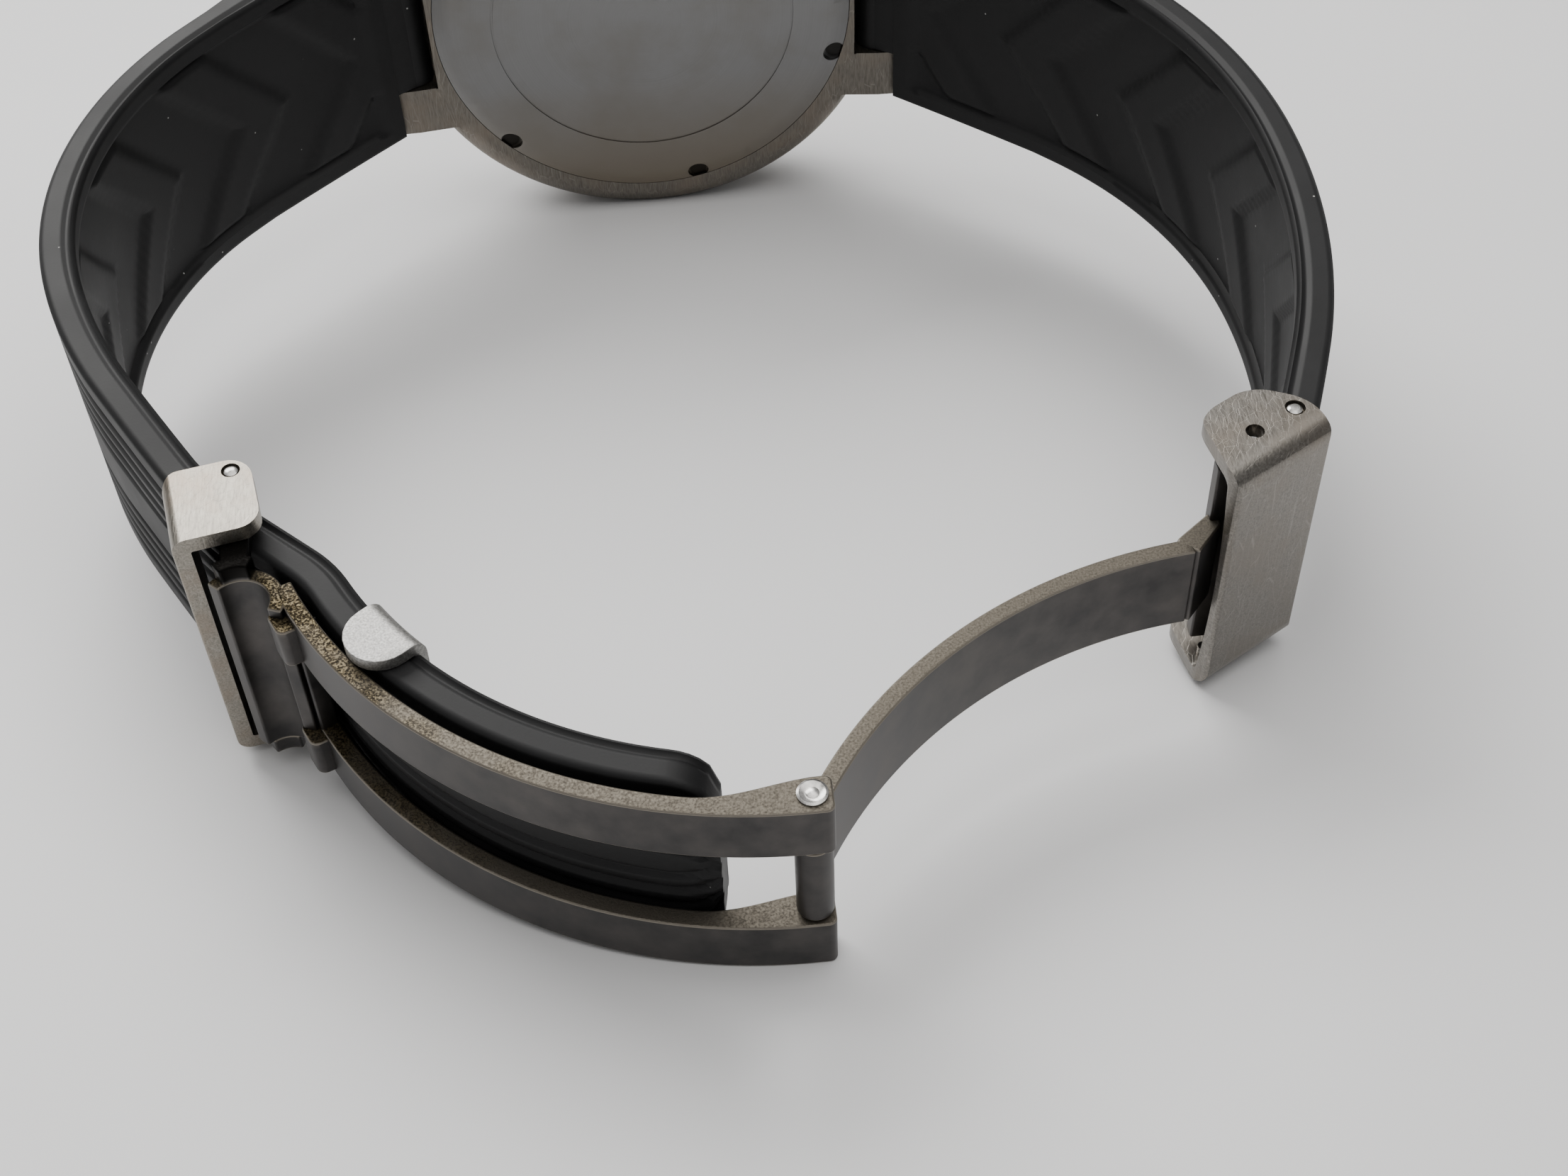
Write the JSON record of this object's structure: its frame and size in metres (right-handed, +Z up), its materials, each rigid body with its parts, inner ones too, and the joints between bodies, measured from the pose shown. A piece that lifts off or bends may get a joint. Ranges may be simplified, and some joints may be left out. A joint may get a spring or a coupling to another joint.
{
  "type": "dive watch",
  "caption": "Dive watch with a turning bezel, screwed back and a rubber strap that opens by a folding clasp, standing open on its side.",
  "frame": {"origin": "centre of the standing watch's footprint, on the surface it rests on", "axes": "+Z up, +Y from the clasp to the case, +X from the long strap half to the short one"},
  "size_m": [0.0931, 0.106, 0.0467],
  "materials": {
    "case_steel": "satin",
    "clasp_steel": "satin",
    "blasted_steel": "bead blasted",
    "bar_steel": "polished",
    "strap_rubber": "semi-matt",
    "seal_rubber": "matt",
    "nylon": "matt",
    "sapphire": "polished",
    "dial_lacquer": "matt",
    "bezel_ceramic": "gloss",
    "lume": "matt",
    "movement_nickel": "grained",
    "movement_brass": "satin",
    "blued_steel": "polished",
    "pinion_steel": "polished"
  },
  "bodies": {
    "case": {"case_middle": "case_steel", "case_back": "case_steel", "back_gasket": "seal_rubber", "crystal": "sapphire", "crystal_gasket": "nylon", "rehaut_ring": "dial_lacquer", "dial": "dial_lacquer", "dial_markers": "lume", "movement_ring": "movement_nickel", "mainplate": "movement_nickel", "barrel_bridge": "movement_nickel", "train_bridge": "movement_nickel", "balance_bridge": "movement_nickel", "bridge_screws": "blued_steel", "rotor_bearing": "movement_nickel", "crown_tube": "case_steel", "bezel_click_spring": "bar_steel", "mainspring": "blued_steel", "hairspring": "blued_steel"},
    "bezel": {"bezel": "case_steel", "bezel_insert": "bezel_ceramic", "bezel_pip": "lume", "bezel_gasket": "seal_rubber"},
    "crown_slide": {"crown_gasket": "seal_rubber"},
    "crown": {"crown": "case_steel", "winding_stem": "bar_steel"},
    "rotor": {"rotor": "movement_nickel"},
    "barrel": {"barrel": "movement_brass"},
    "center_wheel": {"center_wheel": "movement_brass", "cannon_pinion": "pinion_steel", "minute_hand": "lume"},
    "third_wheel": {"third_wheel": "movement_brass"},
    "seconds_wheel": {"seconds_wheel": "movement_brass", "seconds_hand": "lume"},
    "escape_wheel": {"escape_wheel": "pinion_steel"},
    "pallet_fork": {"pallet_fork": "pinion_steel"},
    "balance_wheel": {"balance_wheel": "movement_brass"},
    "minute_wheel": {"minute_wheel": "movement_brass"},
    "hour_wheel": {"hour_wheel": "movement_brass", "hour_hand": "lume"},
    "long_strap": {"strap_long": "strap_rubber", "lug_bar_long": "bar_steel"},
    "front_blade": {"front_blade": "clasp_steel", "lock_bar": "bar_steel", "hinge_pin": "bar_steel", "strap_keeper": "blasted_steel"},
    "buckle": {"strap_buckle": "clasp_steel"},
    "rear_blade": {"rear_blade": "clasp_steel"},
    "cover": {"clasp_cover": "clasp_steel", "cover_pivot_bar": "bar_steel", "cover_catches": "bar_steel", "strap_bar": "bar_steel", "strap_bar_tips": "bar_steel"},
    "short_strap_root": {"lug_bar_short": "bar_steel"},
    "short_strap": {"strap_short": "strap_rubber"}
  },
  "joints": [
    {"name": "bezel_turn", "type": "hinge", "parent": "case", "child": "bezel", "pos_m": [-0.00085, 0.04863, 0.02195], "axis": [0, 0.9906, 0.1365], "continuous": true},
    {"name": "crown_pull", "type": "slide", "parent": "case", "child": "crown_slide", "axis": [0, -0.1365, 0.9906], "range_m": [0, 0.0018]},
    {"name": "crown_turn", "type": "hinge", "parent": "crown_slide", "child": "crown", "pos_m": [-0.00085, 0.04211, 0.04326], "axis": [0, -0.1365, 0.9906], "continuous": true},
    {"name": "rotor_swing", "type": "hinge", "parent": "case", "child": "rotor", "pos_m": [-0.00085, 0.0407, 0.02086], "axis": [0, 0.9906, 0.1365], "continuous": true},
    {"name": "seconds_turn", "type": "hinge", "parent": "case", "child": "seconds_wheel", "pos_m": [-0.00085, 0.04367, 0.02127], "axis": [0, 0.9906, 0.1365], "continuous": true},
    {"name": "minute_turn", "type": "hinge", "parent": "case", "child": "center_wheel", "pos_m": [-0.00085, 0.04367, 0.02127], "axis": [0, 0.9906, 0.1365], "continuous": true},
    {"name": "hour_turn", "type": "hinge", "parent": "case", "child": "hour_wheel", "pos_m": [-0.00085, 0.04665, 0.02168], "axis": [0, 0.9906, 0.1365], "continuous": true},
    {"name": "minute_wheel_turn", "type": "hinge", "parent": "case", "child": "minute_wheel", "pos_m": [-0.00205, 0.04693, 0.01962], "axis": [0, 0.9906, 0.1365], "continuous": true},
    {"name": "third_turn", "type": "hinge", "parent": "case", "child": "third_wheel", "pos_m": [0.0027, 0.0433, 0.02401], "axis": [0, 0.9906, 0.1365], "continuous": true},
    {"name": "escape_turn", "type": "hinge", "parent": "case", "child": "escape_wheel", "pos_m": [0.00385, 0.04391, 0.01957], "axis": [0, 0.9906, 0.1365], "continuous": true},
    {"name": "barrel_turn", "type": "hinge", "parent": "case", "child": "barrel", "pos_m": [-0.00626, 0.0434, 0.02322], "axis": [0, 0.9906, 0.1365], "continuous": true},
    {"name": "pallet_rock", "type": "hinge", "parent": "case", "child": "pallet_fork", "pos_m": [0.00441, 0.04419, 0.01751], "axis": [0, 0.9906, 0.1365], "range_deg": [-4, 4]},
    {"name": "balance_swing", "type": "hinge", "parent": "case", "child": "balance_wheel", "pos_m": [0.00494, 0.04453, 0.01504], "axis": [0, 0.9906, 0.1365], "range_deg": [-150, 150]},
    {"name": "long_strap_root", "type": "hinge", "parent": "case", "child": "long_strap", "pos_m": [-0.02185, 0.04169, 0.02099], "axis": [0, -0.1365, 0.9906], "range_deg": [0, 15.4], "stiffness_Nm_per_rad": 0.002},
    {"name": "long_strap_flex", "type": "hinge", "parent": "long_strap", "child": "front_blade", "pos_m": [-0.03905, -0.012, 0.0136], "axis": [0, -0.1365, 0.9906], "range_deg": [0, 55.3], "stiffness_Nm_per_rad": 0.002, "deforming": ["strap_long"]},
    {"name": "buckle_lift", "type": "hinge", "parent": "front_blade", "child": "buckle", "pos_m": [-0.03045, -0.0224, 0.01216], "axis": [0, -0.1365, 0.9906], "range_deg": [-30, 0]},
    {"name": "clasp_fold", "type": "hinge", "parent": "front_blade", "child": "rear_blade", "pos_m": [0.00435, -0.05039, 0.00831], "axis": [0, -0.1365, 0.9906], "range_deg": [-245.6, 0]},
    {"name": "cover_pivot", "type": "hinge", "parent": "rear_blade", "child": "cover", "pos_m": [0.03577, -0.02726, 0.01149], "axis": [0, -0.1365, 0.9906], "range_deg": [0, 152.9]},
    {"name": "short_strap_root", "type": "hinge", "parent": "case", "child": "short_strap_root", "pos_m": [0.02015, 0.04169, 0.02099], "axis": [0, -0.1365, 0.9906], "range_deg": [-24.2, 0], "stiffness_Nm_per_rad": 0.002},
    {"name": "short_strap_flex", "type": "hinge", "parent": "short_strap_root", "child": "short_strap", "pos_m": [0.04535, -0.00289, 0.01485], "axis": [0, -0.1365, 0.9906], "range_deg": [-43.1, 0], "stiffness_Nm_per_rad": 0.002, "deforming": ["strap_short"]}
  ],
  "couplings": [
    {"joint": "long_strap_root", "follows": "clasp_fold", "ratio": -0.062704},
    {"joint": "long_strap_flex", "follows": "clasp_fold", "ratio": -0.22516},
    {"joint": "cover_pivot", "follows": "clasp_fold", "ratio": -0.62256},
    {"joint": "short_strap_root", "follows": "clasp_fold", "ratio": 0.098534},
    {"joint": "short_strap_flex", "follows": "clasp_fold", "ratio": 0.17549},
    {"joint": "minute_turn", "follows": "seconds_turn", "ratio": 0.016667},
    {"joint": "hour_turn", "follows": "seconds_turn", "ratio": 0.0013889},
    {"joint": "minute_wheel_turn", "follows": "seconds_turn", "ratio": -0.0055556},
    {"joint": "third_turn", "follows": "seconds_turn", "ratio": -0.13333},
    {"joint": "escape_turn", "follows": "seconds_turn", "ratio": -12},
    {"joint": "barrel_turn", "follows": "seconds_turn", "ratio": -0.002381}
  ]
}
